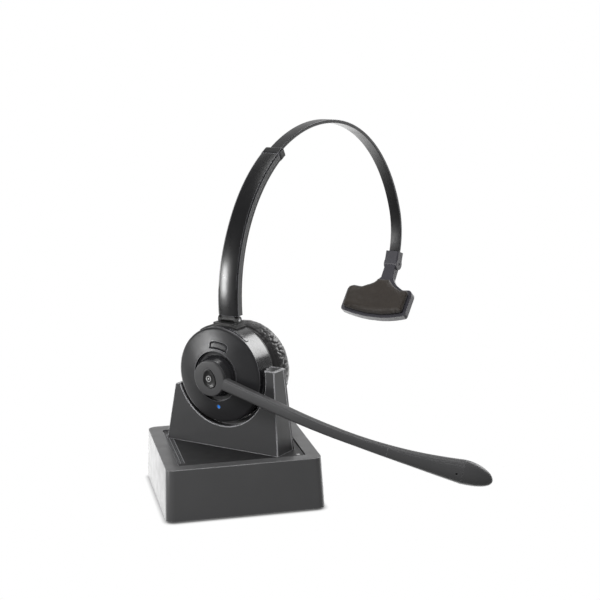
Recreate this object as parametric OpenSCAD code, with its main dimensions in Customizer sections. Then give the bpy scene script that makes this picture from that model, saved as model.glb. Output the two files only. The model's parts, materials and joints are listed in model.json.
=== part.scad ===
// Single-ear wireless office headset standing in its charging dock.
// Origin: centre of the dock's resting face. +Z up, +X the way the microphone boom points,
// +Y from the ear cup towards the temple pad. The dock square is turned 45 degrees about +Z.

/* [Dock] */
// Width of the dock across its top edges
dock_w = 80; // [76:1:90]
// Extra width on each side at the bottom of the dock
dock_flare = 1.25; // [0:0.25:2]
// Height of the dock's top rim
dock_h = 27.5; // [26:0.5:30]
// Radius of the dock's upright corners
dock_corner_r = 4.5; // [3:0.5:8]
// Width of the rim around the inset deck
rim_w = 7.3; // [6:0.1:9]
// Depth of the deck below the rim
deck_drop = 1; // [0.5:0.1:1.5]

/* [Cradle] */
// Height of the taller cradle post
tall_post_h = 71.3; // [69:0.1:74]
// Height of the shorter cradle post
short_post_h = 57.7; // [55:0.1:60]
// Radius of the cradle's notch
notch_r = 25.6; // [25.5:0.1:26]
// Radius of the notch's stepped mouth
notch_mouth_r = 27.9; // [27:0.1:28.4]

/* [Ear cup] */
// Height of the ear cup's axis above the table
ear_z = 66.3; // [66:0.1:67]
// Outer radius of the ear cup
cup_r = 25.2; // [25:0.1:25.3]
// How far the front cover bulges
dome_h = 4.4; // [3.5:0.1:5]
// Outer radius of the ear cushion
cushion_r = 25.8; // [25:0.1:27]
// Depth of the ear cushion
cushion_depth = 14.4; // [12:0.1:15]

/* [Headband] */
// Width of the sleeve that holds the band
arm_w = 12.4; // [12:0.1:14]
// Thickness of the sleeve
arm_t = 4.8; // [4.6:0.1:5]
// Width of the spring band
band_w = 6.9; // [6:0.1:7]
// Thickness of the spring band
band_t = 2; // [1.8:0.1:2]
// Radius of the sleeve's curve, which the sliding tail of the band shares
arm_curve_r = 85; // [84:0.5:86]

/* [Temple pad] */
// Width of the temple bar
temple_w = 44.6; // [42:0.2:48]
// Height of the temple bar
temple_h = 19.4; // [18:0.2:21]
// Tilt of the temple bar from upright
temple_tilt = 40; // [35:1:42]
// Thickness of the temple cushion
temple_pad_t = 3.4; // [3:0.1:3.6]

/* [Microphone boom] */
// Angle of the boom below level
boom_droop = 14.8; // [10:0.1:16]
// Height of the boom's section
boom_h = 5.4; // [5:0.1:6]
// Thickness of the boom's section
boom_t = 4.4; // [4:0.1:4.6]
// Length of the straight part, from the hub's axis
boom_straight = 49; // [45:1:60]
// Radius of the curve towards the mouth
boom_curve_r = 202; // [190:1:220]

/* [Hidden] */
$fn = 64;
eps = 0.01;
gap = 0.02;       // clearance between parts that are fixed together
play = 0.05;      // radial clearance of a shaft that turns or slides

charcoal = [0.22, 0.22, 0.23];
satin = [0.27, 0.27, 0.28];
gloss = [0.06, 0.06, 0.07];
dark = [0.1, 0.1, 0.1];
steel = [0.7, 0.7, 0.72];
gold = [0.85, 0.68, 0.3];
board = [0.08, 0.3, 0.16];
foam = [0.25, 0.22, 0.2];

// Dock levels and widths
foot_t = 1.2;
bottom_t = 2.4;
shell_z0 = 0.8;
dock_wall = 2.2;
deck_z = dock_h - deck_drop;
deck_t = 2.6;
ledge_t = 2.5;
well_w = dock_w - 2 * rim_w + 0.4;
deck_w = well_w - 0.8;
ledge_w = deck_w - 6;
inner_w = dock_w - 2 * dock_wall;
foot_w = 58;
bottom_top = foot_t + bottom_t;
ledge_z = deck_z - deck_t - ledge_t;
screw_at = 33.2;
boss_r = 3.1;
pcb_z = 9;
pcb_t = 1.6;
pcb_mid_y = 30.5;
socket_y1 = 39.7;
socket_w = 8.4;
socket_h = 3.2;
led_at = [29.8, -28.2];

// Cradle outline: feet and post tops, seen from the front
cradle_y0 = -7.9;
cradle_wall = 2.2;
cradle_lid_t = 1.8;
back_foot_y = 7.85;
back_slope = 6.8;
left_foot_x = -36.6;
left_top_x = -29.6;
right_foot_x = 34.4;
right_top_x = 33.3;
pin_x = 5;
pin_y = -1.5;
pin_r = 0.8;
pad_z = 41.65;

// Ear cup, measured along its axis; the outer face looks towards -Y
rim_y = -9.4;
seam_y = -8.6;
cup_wall = 1.8;
cup_back_y = 4;
floor_t = 1.6;
plate_back_y = 7;
recess_r = 13.2;
recess_y = -10.8;
cover_t = 1.6;
spindle_r = 3;
bushing_r = 4.5;
speaker_r = 15;
cup_screw_at = 20.5;
cup_screw_angles = [60, 180, 300];
cup_pcb_y = -5;
cushion_sag = [0.8, 0, -1]; // the soft ring settles a little off the cup's axis
led_down = 16.4;
led_a = 177;
button_r0 = 14.3;
button_r1 = 18;
button_mid_r = 16.2;
button_half_a = 18.5;
button_a = 7;         // middle of the call button, clockwise from straight up
rocker_a = 27.5;
rocker_half_a = 13.2;
rocker_y0 = -7.7;
rocker_w = 2;
rocker_pivot_r = 22.7;

// Yoke between the cup and the sleeve
pivot_y = 1.8;
pivot_z = 93.7;
barrel_r = 1.85;
cheek_x0 = 4.2;
saddle_t = 0.9;

// Headband: four arcs in the plane of X = 0, each tangent to the next.
// Angles run from 0, where the band points straight up, over the head to the temple.
arc_r = [arm_curve_r, 98, 86, 43];
arc_end = [60.5, 100.5, 163, 204];
arc_1 = [87.4, 101.4];
arc_2 = arc_step(arc_1, 0);
arc_3 = arc_step(arc_2, 1);
arc_4 = arc_step(arc_3, 2);
arc_c = [arc_1, arc_2, arc_3, arc_4];
lap_a = 0.25;      // how far one arc runs into the next
joint_step = 0.01; // how much slimmer every second arc is
arm_a0 = -3.7;
cap_a0 = 59.2;
cap_a1 = 63;
tail_a0 = 24;
stop_a = 3;
shoulder_a = 41.1; // where the channel narrows and holds the stop
leaf_a = 47.5;     // middle of the detent's leaf spring
leaf_half_a = 3.2;
leaf_half_w = 1.6;
slot_half_t = band_t / 2 + 0.06;
slot_half_w = band_w / 2 + 0.06;
channel_half_w = 3.9;
lean = 20;        // lean of the collar, in degrees from upright
collar_pos = [0, 175.2, 93.6];
collar_w = 8.8;
collar_d = 6.8;
collar_h = 7.6;
hinge_r = 3.4;
temple_pin_r = 0.7;
tang_half_w = 1.6;
tang_r = 2.4;
tang_swing = 2.9; // room the tang needs on each side when the bar tilts

// Temple pad frame: origin on the cushion's face, -Y out of the face, +Z up the bar
temple_pos = [0, 155.6, 77.6];
temple_arch_r = 80;
holder_y = temple_pad_t + 0.4;
holder_t = 2.6;
neck_w = 7.2;

// Boom and hub
hub_r = 11;
hub_face_r = 9.3;
hub_y0 = recess_y - 0.1;
hub_mid_y = -16.4;
hub_front_y = -18.4;
boom_y = hub_front_y + boom_t / 2;
pod_s0 = 104;
pod_mid_s = 122;
pod_s1 = 141.3;
boom_len = 156.6;
mic_s = 136;
mic_r = 3;

// Centre of the arc after arc i, from the centre c of arc i
function arc_step(c, i) = c + (arc_r[i] - arc_r[i + 1]) * [-cos(arc_end[i]), sin(arc_end[i])];
// Depth of the front cover's surface at radius r from the cup's axis
function dome_y(r) = rim_y - dome_h * (1 - pow(r / cup_r, 2));
// Point and heading of the boom's centreline at distance s from the hub's axis
function boom_a(s) = max(0, s - boom_straight) / boom_curve_r * 180 / PI;
function boom_x(s) = min(s, boom_straight) + boom_curve_r * sin(boom_a(s));
function boom_dy(s) = boom_curve_r * (1 - cos(boom_a(s)));

// ---------- placing helpers ----------

module in_dock() { rotate([0, 0, 45]) children(); }

module four_corners(at) {
    for (x = [-at, at], y = [-at, at]) translate([x, y, 0]) children();
}

// Local +Z becomes +Y along the cup's axis, local -Y becomes up
module on_ear_axis() { translate([0, 0, ear_z]) rotate([-90, 0, 0]) children(); }

// Turns a profile of [radius, y] about the cup's axis
module ear_turned(points) { on_ear_axis() rotate_extrude() polygon(points); }

// Ring about the cup's axis from y0 to y1
module ear_ring(r0, r1, y0, y1) {
    ear_turned([[r0, y0], [r1, y0], [r1, y1], [r0, y1]]);
}

module ear_disc(r, y0, y1) {
    on_ear_axis() translate([0, 0, y0]) cylinder(r = r, h = y1 - y0);
}

// Turns a profile about the cup's axis from a0 to a1, in degrees from straight up, clockwise
// as seen from the front
module ear_sector(points, a0, a1) {
    on_ear_axis() rotate([0, 0, a0 - 90]) rotate_extrude(angle = a1 - a0) polygon(points);
}

// Places children parallel to the cup's axis, at radius r and angle a from straight up
module ear_at(r, a, y = 0) {
    translate([r * sin(a), y, ear_z + r * cos(a)]) rotate([-90, 0, 0]) children();
}

// Rod along X, centred on X = 0
module x_rod(r, w, y, z) {
    translate([-w / 2, y, z]) rotate([0, 90, 0]) cylinder(r = r, h = w);
}

// Sweeps a section of [outwards, sideways] along arc i of the headband
module band_sweep(i, a0, a1) {
    translate([0, arc_c[i][0], arc_c[i][1]]) rotate([90, 0, -90]) rotate([0, 0, a0])
        rotate_extrude(angle = a1 - a0, $fn = 180) translate([arc_r[i], 0]) children();
}

module section(t0, t1, half_w) { translate([t0, -half_w]) square([t1 - t0, 2 * half_w]); }

// Rectangle with round corners, made of exact arcs
module round_rect(w, h, r) {
    square([w - 2 * r, h], center = true);
    square([w, h - 2 * r], center = true);
    for (x = [r - w / 2, w / 2 - r], y = [r - h / 2, h / 2 - r]) translate([x, y]) circle(r = r);
}

module in_collar() { translate(collar_pos) rotate([-lean, 0, 0]) children(); }

module in_temple() { translate(temple_pos) rotate([-temple_tilt, 0, 0]) children(); }

// +X runs along the boom from the hub's axis
module in_boom() { translate([0, 0, ear_z]) rotate([0, boom_droop, 0]) children(); }

module on_boom(s) {
    in_boom() translate([boom_x(s), boom_y + boom_dy(s), 0]) rotate([0, 0, boom_a(s)]) children();
}

// Thin oval slice across the boom
module boom_slice(s, h, t) {
    on_boom(s) rotate([0, 90, 0]) scale([h / t, 1, 1]) cylinder(d = t, h = 0.1, $fn = 32);
}

// ---------- dock ----------

module dock_slab(w, z) {
    translate([0, 0, z]) linear_extrude(0.1) round_rect(w, w, dock_corner_r, $fn = 32);
}

module dock_shell() {
    edge = 0.8;
    color(charcoal) in_dock() difference() {
        union() {
            difference() {
                hull() {
                    dock_slab(dock_w + 2 * dock_flare - edge, shell_z0);
                    dock_slab(dock_w + 2 * dock_flare, shell_z0 + edge);
                    dock_slab(dock_w, dock_h - edge);
                    dock_slab(dock_w - edge, dock_h - 0.1);
                }
                translate([-inner_w / 2, -inner_w / 2, 0]) cube([inner_w, inner_w, ledge_z]);
                translate([-well_w / 2, -well_w / 2, ledge_z + ledge_t]) cube([well_w, well_w, dock_h]);
                translate([-ledge_w / 2, -ledge_w / 2, ledge_z - eps])
                    cube([ledge_w, ledge_w, ledge_t + 2 * eps]);
            }
            four_corners(screw_at) translate([0, 0, bottom_top])
                cylinder(r = boss_r, h = ledge_z - bottom_top + eps);
        }
        four_corners(screw_at) translate([0, 0, bottom_top - eps]) cylinder(r = 1.22, h = 9);
        translate([-socket_w / 2 - 0.2, inner_w / 2 - 1, pcb_z + pcb_t - 0.2])
            cube([socket_w + 0.4, 6, socket_h + 0.4]);
    }
}

module dock_deck() {
    slot_w = 0.9;
    color(dark) in_dock() difference() {
        translate([0, 0, deck_z - deck_t]) linear_extrude(deck_t) round_rect(deck_w, deck_w, 1.5);
        for (x = [-31.2, -29.3]) translate([x - slot_w / 2, -26, deck_z - 0.5]) cube([slot_w, 52, 1]);
        translate([led_at[0], led_at[1], deck_z - 5]) cylinder(r = 1, h = 6);
        translate([0, 0, deck_z - 5]) cylinder(r = 5, h = 6);
    }
}

module dock_bottom() {
    color(dark) in_dock() {
        difference() {
            translate([0, 0, foot_t]) linear_extrude(bottom_t) round_rect(inner_w - 0.4, inner_w - 0.4, 2);
            four_corners(screw_at) {
                cylinder(r = 1.6, h = 6);
                cylinder(r = 3, h = foot_t + 1);
            }
        }
        for (x = [-13, 13]) translate([x, pcb_mid_y, bottom_top - eps])
            cylinder(r = 2.2, h = pcb_z - bottom_top + eps - gap);
    }
}

module dock_foot_pad() {
    color(dark) in_dock() linear_extrude(foot_t) round_rect(foot_w, foot_w, 4);
}

module dock_weight() {
    color(steel) in_dock() translate([0, -3.5, bottom_top + gap]) linear_extrude(6) round_rect(54, 46, 3);
}

module dock_pcb() {
    color(board) in_dock() translate([0, pcb_mid_y, pcb_z]) linear_extrude(pcb_t) round_rect(34, 13, 1);
}

module usb_socket() {
    depth = 7.6;
    color(steel) in_dock() translate([0, socket_y1, pcb_z + pcb_t + gap]) difference() {
        translate([-socket_w / 2, -depth, 0]) cube([socket_w, depth, socket_h]);
        translate([-socket_w / 2 + 0.4, -depth + 1, 0.4]) cube([socket_w - 0.8, depth, socket_h - 0.8]);
    }
}

module dock_screws() {
    color(steel) in_dock() four_corners(screw_at) {
        translate([0, 0, foot_t + 0.1]) cylinder(r = 2.7, h = 0.88);
        translate([0, 0, foot_t + 0.1]) cylinder(r = 1.2, h = 9);
    }
}

module dock_led() {
    color("silver") in_dock() translate([led_at[0], led_at[1], deck_z - 2]) cylinder(r = 0.95, h = 2.1);
}

// ---------- cradle ----------

// Front view of the cradle; shrink moves the outline inwards
module cradle_outline(shrink) {
    base = deck_z + shrink;
    polygon([[left_foot_x + shrink, base], [left_top_x + shrink, short_post_h - shrink],
        [0, short_post_h - shrink + 6], [0, tall_post_h - shrink],
        [right_top_x - shrink, tall_post_h - shrink], [right_foot_x - shrink, base]]);
}

// Slab between the front plane and the sloping back plane moved forwards by inset
module cradle_depth(inset) {
    intersection() {
        translate([-50, cradle_y0, 0]) cube([100, 40, 90]);
        translate([0, back_foot_y - inset, deck_z]) rotate([back_slope, 0, 0])
            translate([-50, -60, -20]) cube([100, 60, 90]);
    }
}

module cradle_notch(r) {
    on_ear_axis() translate([0, 0, -20]) cylinder(r = r, h = 50);
    translate([-r, -20, ear_z]) cube([2 * r, 50, 30]);
}

module cradle_front_prism(shrink) {
    translate([0, 30, 0]) rotate([90, 0, 0]) linear_extrude(60) cradle_outline(shrink);
}

module pin_places() {
    for (x = [-pin_x, pin_x]) translate([x, pin_y, 0]) children();
}

module cradle() {
    step = 1.5;
    color(satin) difference() {
        intersection() {
            cradle_front_prism(0);
            cradle_depth(cradle_lid_t);
        }
        cradle_notch(notch_r);
        on_ear_axis() translate([0, 0, cradle_y0 - 1]) cylinder(r = notch_mouth_r, h = 1 + step);
        difference() {
            intersection() {
                cradle_front_prism(cradle_wall);
                translate([-50, cradle_y0 + cradle_wall, 0]) cube([100, 40, 90]);
            }
            cradle_notch(notch_r + cradle_wall);
        }
        pin_places() translate([0, 0, 38]) cylinder(r = pin_r + play, h = 6);
    }
}

module cradle_back() {
    color(satin) difference() {
        intersection() {
            cradle_front_prism(0);
            cradle_depth(0);
        }
        cradle_depth(cradle_lid_t - gap);
        cradle_notch(notch_r);
    }
}

module pin_block() {
    color(dark) difference() {
        translate([-8, pin_y - 2.6, 31.5]) cube([16, 5.2, 6.6]);
        pin_places() {
            translate([0, 0, 32.6]) cylinder(r = 1.25, h = 3.6);
            translate([0, 0, 36]) cylinder(r = pin_r + play, h = 4);
        }
    }
}

module charge_pins() {
    tip_h = 0.4;
    color(gold) pin_places() {
        translate([0, 0, 35]) cylinder(r = 1.2, h = 1);
        translate([0, 0, 35]) cylinder(r = pin_r, h = pad_z - 0.03 - tip_h - 35);
        translate([0, 0, pad_z - 0.03 - tip_h - eps]) cylinder(r1 = pin_r, r2 = 0.45, h = tip_h + eps);
    }
}

// ---------- ear cup ----------

module front_cover() {
    dome_n = 14;
    lip_r = cup_r - cup_wall - 0.1;
    wall_r = 14.05;
    outer = [for (i = [0:dome_n])
        let (r = recess_r + (cup_r - 0.6 - recess_r) * i / dome_n) [r, dome_y(r)]];
    inner = [for (i = [dome_n:-1:0])
        let (r = wall_r + (lip_r - wall_r) * i / dome_n) [r, dome_y(r) + cover_t]];
    color(satin) difference() {
        ear_turned(concat([[bushing_r + gap, recess_y], [recess_r, recess_y]], outer,
            [[cup_r - 0.15, rim_y + 0.25], [cup_r, seam_y], [lip_r, seam_y]], inner,
            [[wall_r, recess_y + cover_t], [bushing_r + gap, recess_y + cover_t]]));
        ear_sector([[button_r0 - 0.2, -20], [button_r1 + 0.4, -20], [button_r1 + 0.4, 0],
            [button_r0 - 0.2, 0]], button_a - button_half_a - 0.8, button_a + button_half_a + 1.6);
        ear_at(led_down, led_a, -20) cylinder(r = 1, h = 18);
    }
}

module call_button() {
    flange_y = -9.3;
    color(satin) {
        ear_sector([[button_r0, dome_y(button_r0) - 0.3], [button_r1, dome_y(button_r1) - 0.3],
            [button_r1, flange_y + 0.6], [button_r0, flange_y + 0.6]],
            button_a - button_half_a, button_a + button_half_a);
        ear_sector([[button_r0, flange_y], [button_r1 + 0.7, flange_y],
            [button_r1 + 0.7, flange_y + 0.6], [button_r0, flange_y + 0.6]],
            button_a - button_half_a - 3, button_a + button_half_a + 3);
        ear_at(button_mid_r, button_a, flange_y) cylinder(r = 1.2, h = 2.6);
    }
}

module cup_shell() {
    r0 = cup_r - cup_wall;
    floor_y = cup_back_y - floor_t;
    color(gloss) difference() {
        union() {
            ear_turned([[r0, seam_y + gap], [cup_r, seam_y + gap], [cup_r, cup_back_y - 0.6],
                [cup_r - 0.6, cup_back_y], [speaker_r + 0.2, cup_back_y],
                [speaker_r + 0.2, floor_y], [r0, floor_y]]);
            for (a = cup_screw_angles) ear_at(cup_screw_at, a, -3.6) cylinder(r = 2.2, h = 6.2);
            for (y = [rocker_y0 - 0.5, rocker_y0 + rocker_w + 0.08])
                ear_sector([[rocker_pivot_r - 0.8, y], [r0 + 0.1, y], [r0 + 0.1, y + 0.42],
                    [rocker_pivot_r - 0.8, y + 0.42]], rocker_a - 3, rocker_a + 3);
        }
        for (a = cup_screw_angles) ear_at(cup_screw_at, a, -2.8) cylinder(r = 0.92, h = 8);
        ear_sector([[r0 - 0.05, rocker_y0 - 0.2], [cup_r + 1, rocker_y0 - 0.2],
            [cup_r + 1, rocker_y0 + rocker_w + 0.2], [r0 - 0.05, rocker_y0 + rocker_w + 0.2]],
            rocker_a - rocker_half_a - 0.8, rocker_a + rocker_half_a + 0.8);
        ear_at(rocker_pivot_r, rocker_a, seam_y - 1) cylinder(r = 0.42, h = 6);
        pin_places() translate([0, 0, pad_z - 3]) cylinder(r = 1.62, h = 6);
    }
}

module volume_rocker() {
    y1 = rocker_y0 + rocker_w;
    r0 = cup_r - cup_wall + 0.3;
    color(gloss) difference() {
        union() {
            ear_sector([[r0, rocker_y0], [cup_r + 0.3, rocker_y0], [cup_r + 0.3, y1], [r0, y1]],
                rocker_a - rocker_half_a, rocker_a + rocker_half_a);
            ear_at(rocker_pivot_r, rocker_a, rocker_y0) cylinder(r = 0.9, h = rocker_w);
            ear_sector([[rocker_pivot_r, rocker_y0], [r0 + 0.1, rocker_y0], [r0 + 0.1, y1],
                [rocker_pivot_r, y1]], rocker_a - 1.5, rocker_a + 1.5);
        }
        ear_at(rocker_pivot_r, rocker_a, rocker_y0 - 1) cylinder(r = 0.4 + play, h = rocker_w + 2);
    }
}

module rocker_pin() {
    color(steel) ear_at(rocker_pivot_r, rocker_a, rocker_y0 - 0.48)
        cylinder(r = 0.4, h = rocker_w + 0.96);
}

module rear_plate() {
    color(dark) difference() {
        ear_ring(12, cup_r - cup_wall, cup_back_y + gap, plate_back_y);
        for (a = cup_screw_angles) {
            ear_at(cup_screw_at, a, cup_back_y - 1) cylinder(r = 1, h = 8);
            ear_at(cup_screw_at, a, plate_back_y - 1.2) cylinder(r = 1.9, h = 3);
        }
    }
}

module cup_screws() {
    color(steel) for (a = cup_screw_angles) {
        ear_at(cup_screw_at, a, -2.5) cylinder(r = 0.9, h = 8.8);
        ear_at(cup_screw_at, a, plate_back_y - 1.18) cylinder(r = 1.8, h = 1.1);
    }
}

// Ring with a rounded, pillow-like section
module ear_cushion() {
    r_in = 10.5;
    mid_r = (cushion_r + r_in) / 2;
    half_r = (cushion_r - r_in) / 2;
    y0 = plate_back_y + 0.08;
    half_y = cushion_depth / 2;
    puff = 0.55;
    steps = 28;
    ring = [for (i = [0:steps - 1]) let (a = i * 360 / steps, c = cos(a), s = sin(a))
        [mid_r + half_r * sign(c) * pow(abs(c), puff), y0 + half_y + half_y * sign(s) * pow(abs(s), puff)]];
    color(foam) translate(cushion_sag) ear_turned(ring);
}

module speaker_cloth() { color(dark) ear_disc(11.9, 4.5, 4.9); }

module speaker_driver() {
    color(steel) ear_turned([[0, -3.2], [7.5, -3.2], [7.5, 0.4], [12, 0.4], [speaker_r, 1.6],
        [speaker_r, cup_back_y], [speaker_r - 1.2, cup_back_y], [9, 1.6], [0, 1.6]]);
}

module battery() {
    size = [20, 3.2, 11];
    color(steel) translate([-size[0] / 2, -3.6, ear_z + 8.5]) cube(size);
}

module main_pcb() { color(board) ear_disc(20.8, cup_pcb_y, cup_pcb_y + 1.2); }

module tact_switches() {
    color(dark) {
        ear_at(button_mid_r, button_a, cup_pcb_y - 0.9) cylinder(r = 1.6, h = 0.88);
        for (a = [26, 44]) ear_at(19, a, cup_pcb_y - 0.9) cylinder(r = 1.2, h = 0.88);
    }
}

module charge_contacts() {
    color(gold) pin_places() translate([0, 0, pad_z]) cylinder(r = 1.6, h = 2);
}

module cup_led() { color([0.1, 0.45, 0.9]) ear_at(led_down, led_a, -11.6) cylinder(r = 0.98, h = 2.4); }

module swivel_bushing() {
    color(dark) ear_turned([[spindle_r + play, recess_y], [bushing_r, recess_y],
        [bushing_r, recess_y + cover_t + gap], [6, recess_y + cover_t + gap], [6, -8.2],
        [spindle_r + play, -8.2]]);
}

module friction_washer() { color(steel) ear_ring(spindle_r + 0.1, 5.8, -8.15, -7.25); }

// Curved base plate with two cheeks that hold the yoke's pin
module yoke_saddle() {
    base_y0 = -5;
    color(dark) difference() {
        union() {
            ear_sector([[cup_r + gap, base_y0], [cup_r + saddle_t, base_y0],
                [cup_r + saddle_t, cup_back_y], [cup_r + gap, cup_back_y]], -34, 20);
            for (side = [-1, 1]) translate([side * (cheek_x0 + arm_w / 2) / 2, 0, 0]) {
                x_rod(2, arm_w / 2 - cheek_x0, pivot_y, pivot_z);
                translate([-(arm_w / 2 - cheek_x0) / 2, pivot_y - 2, pivot_z - 2.3])
                    cube([arm_w / 2 - cheek_x0, 4, 2.3]);
            }
            translate([-arm_w / 2, base_y0 + 0.6, ear_z + cup_r - 0.2]) cube([arm_w, 3.4, 1.5]);
        }
        translate([-cheek_x0, pivot_y - 2.2, pivot_z - 4]) cube([2 * cheek_x0, 10, 10]);
        x_rod(0.82, 20, pivot_y, pivot_z);
        on_ear_axis() translate([0, 0, -20]) cylinder(r = cup_r + gap, h = 40);
    }
}

module yoke_pin() { color(steel) x_rod(0.8, arm_w, pivot_y, pivot_z); }

// ---------- sleeve of the headband ----------

module arm_yoke() {
    neck_top = 95.7;
    color(dark) difference() {
        union() {
            x_rod(barrel_r, 2 * cheek_x0 - 0.2, pivot_y, pivot_z);
            translate([-cheek_x0 + 0.1, pivot_y - 1.6, pivot_z])
                cube([2 * cheek_x0 - 0.2, 3.2, neck_top - pivot_z]);
            band_sweep(0, arm_a0 - 0.8, 4)
                section(-slot_half_t + gap, slot_half_t - gap, channel_half_w - gap);
        }
        x_rod(0.8 + play, 20, pivot_y, pivot_z);
        arm_screw_line() cylinder(r = 0.82, h = 10);
    }
}

// Axis of the sleeve's screw, from its head on the inner side towards the outside
module arm_screw_line() { translate([0, 5.6, 99.2]) rotate([90, 0, 0]) children(); }

module arm_shell() {
    pocket = 0.6;
    color(gloss) difference() {
        band_sweep(0, arm_a0, cap_a0) section(-slot_half_t, arm_t / 2, arm_w / 2);
        band_sweep(0, arm_a0 - 1, shoulder_a)
            section(-arm_t, slot_half_t + joint_step, channel_half_w);
        band_sweep(0, shoulder_a - 1, cap_a0 + 1)
            section(-arm_t - 1, slot_half_t, slot_half_w);
        band_sweep(0, leaf_a - leaf_half_a - 0.3, leaf_a + leaf_half_a + 0.3)
            section(slot_half_t - 0.1, slot_half_t + pocket, leaf_half_w + 0.2);
        translate([0, 0, 99.2]) rotate([90, 0, 0]) translate([0, 0, -5]) cylinder(r = 0.82, h = 3.9);
    }
}

module arm_liner() {
    color(dark) difference() {
        band_sweep(0, arm_a0, cap_a0) section(-arm_t / 2, -slot_half_t - gap, arm_w / 2);
        arm_screw_line() {
            cylinder(r = 1, h = 6);
            cylinder(r = 1.7, h = 1.5);
        }
    }
}

module arm_screw() {
    color(steel) arm_screw_line() {
        translate([0, 0, 0.9]) cylinder(r = 1.6, h = 0.58);
        translate([0, 0, 0.9]) cylinder(r = 0.8, h = 3.4);
    }
}

module end_cap() {
    color(dark) difference() {
        band_sweep(0, cap_a0 + 0.02, cap_a1) section(-arm_t / 2 - 0.3, arm_t / 2 + 0.1, arm_w / 2 + 0.1);
        band_sweep(0, cap_a0 - 1, cap_a1 + 1) section(-slot_half_t, slot_half_t, slot_half_w);
    }
}

module detent_spring() {
    color(steel) band_sweep(0, leaf_a - leaf_half_a, leaf_a + leaf_half_a)
        section(slot_half_t + 0.04, slot_half_t + 0.3, leaf_half_w);
}

// ---------- sliding band and temple pad ----------

module spring_band() {
    notch_first_a = 4;
    notch_pitch_a = 2.7;
    start = [tail_a0, arc_end[0] - lap_a, arc_end[1], arc_end[2] - lap_a];
    end = [arc_end[0], arc_end[1] + lap_a, arc_end[2], arc_end[3]];
    color(dark) difference() {
        union() for (i = [0:3]) {
            inset = i % 2 * joint_step;
            band_sweep(i, start[i], end[i])
                section(-band_t / 2 + inset, band_t / 2 - inset, band_w / 2 - inset);
        }
        for (i = [0:6]) translate([0, arc_1[0], arc_1[1]])
            rotate([90 - tail_a0 - notch_first_a - i * notch_pitch_a, 0, 0])
                x_rod(0.35, 12, 0, arc_r[0] + band_t / 2 + 0.1);
    }
}

module band_stop() {
    color(dark) band_sweep(0, tail_a0 - stop_a, tail_a0 - 0.02)
        section(-band_t / 2, band_t / 2, channel_half_w - 0.1);
}

module collar() {
    color(charcoal) difference() {
        in_collar() difference() {
            union() {
                linear_extrude(collar_h) round_rect(collar_w, collar_d, 0.8);
                x_rod(hinge_r, collar_w, 0, 0);
            }
            x_rod(tang_r + 0.1, 2 * tang_half_w + 0.2, 0, 0);
            translate([-tang_half_w - 0.1, -tang_swing, -5]) cube([2 * tang_half_w + 0.2, 2 * tang_swing, 5]);
            x_rod(temple_pin_r + gap, 20, 0, 0);
        }
        band_sweep(3, 170, arc_end[3] + 0.1) section(-band_t / 2 - gap, band_t / 2 + gap, band_w / 2 + gap);
    }
}

module temple_pin() { color(steel) in_collar() x_rod(temple_pin_r, collar_w, 0, 0); }

// T-shaped outline of the temple bar; the neck rises to neck_z
module temple_outline(shrink, neck_z, neck) {
    shoulder_r = 4;
    belly_r = 120;
    bell = [[20, 3], [11.3, 8], [7.1, 10.6], [4.8, 13.8]];
    offset(delta = -shrink) offset(r = -shoulder_r) offset(r = shoulder_r) {
        intersection() {
            translate([0, -3.4]) offset(r = 4) square([temple_w - 8, temple_h - 8], center = true);
            translate([0, belly_r - 13.2]) circle(r = belly_r, $fn = 160);
        }
        polygon(concat(bell, [for (i = [3:-1:0]) [-bell[i][0], bell[i][1]]]));
        translate([-neck / 2, 0]) square([neck, neck_z]);
    }
}

// Curved plate between depths y0 and y1 that hugs the temple
module temple_layer(y0, y1) {
    intersection() {
        translate([0, 20, 0]) rotate([90, 0, 0]) linear_extrude(40) children();
        translate([0, -temple_arch_r, -20]) difference() {
            cylinder(r = temple_arch_r + y1, h = 60, $fn = 160);
            translate([0, 0, -1]) cylinder(r = temple_arch_r + y0, h = 62, $fn = 160);
        }
    }
}

module temple_holder() {
    color(charcoal) difference() {
        union() {
            temple_bar();
            in_collar() {
                x_rod(tang_r, 2 * tang_half_w, 0, 0);
                translate([-tang_half_w, -tang_r, -hinge_r - 0.6])
                    cube([2 * tang_half_w, 2 * tang_r, hinge_r + 0.6]);
            }
        }
        in_collar() x_rod(temple_pin_r + play, 20, 0, 0);
    }
}

// Bar and neck, hollowed where the collar's barrel turns
module temple_bar() {
    difference() {
        union() {
            in_temple() temple_layer(holder_y, holder_y + holder_t) temple_outline(0, 15, neck_w + 1);
            hull() {
                in_collar() translate([0, 0, -0.5]) linear_extrude(0.1)
                    round_rect(neck_w, collar_d - 0.2, 0.8, $fn = 32);
                in_temple() translate([0, holder_y + holder_t / 2, 11.5])
                    cube([neck_w + 1, holder_t, 1], center = true);
            }
        }
        in_collar() x_rod(hinge_r + 0.12, 20, 0, 0);
        in_collar() translate([-10, -6, 0]) cube([20, 12, 10]);
    }
}

module temple_pad() {
    color(foam) in_temple() temple_layer(0, temple_pad_t) temple_outline(1.4, 13, neck_w + 1);
}

// ---------- microphone boom ----------

module hub_base() {
    socket_y = -13.6;
    color(gloss) difference() {
        ear_turned([[spindle_r + gap, hub_y0], [hub_r, hub_y0], [hub_r, hub_y0 - 0.8],
            [hub_r - 0.5, hub_y0 - 1.3], [hub_face_r + 0.2, hub_mid_y], [0, hub_mid_y],
            [0, socket_y], [spindle_r + gap, socket_y]]);
        in_boom() translate([5 - gap, boom_y, 0]) rotate([90, 0, 90]) linear_extrude(20)
            square([boom_t + 0.1, boom_h + 0.1], center = true);
    }
}

module boom_section(inset) {
    round_rect(boom_t - 2 * inset, boom_h - 2 * inset, 1.3, $fn = 32);
}

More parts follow.
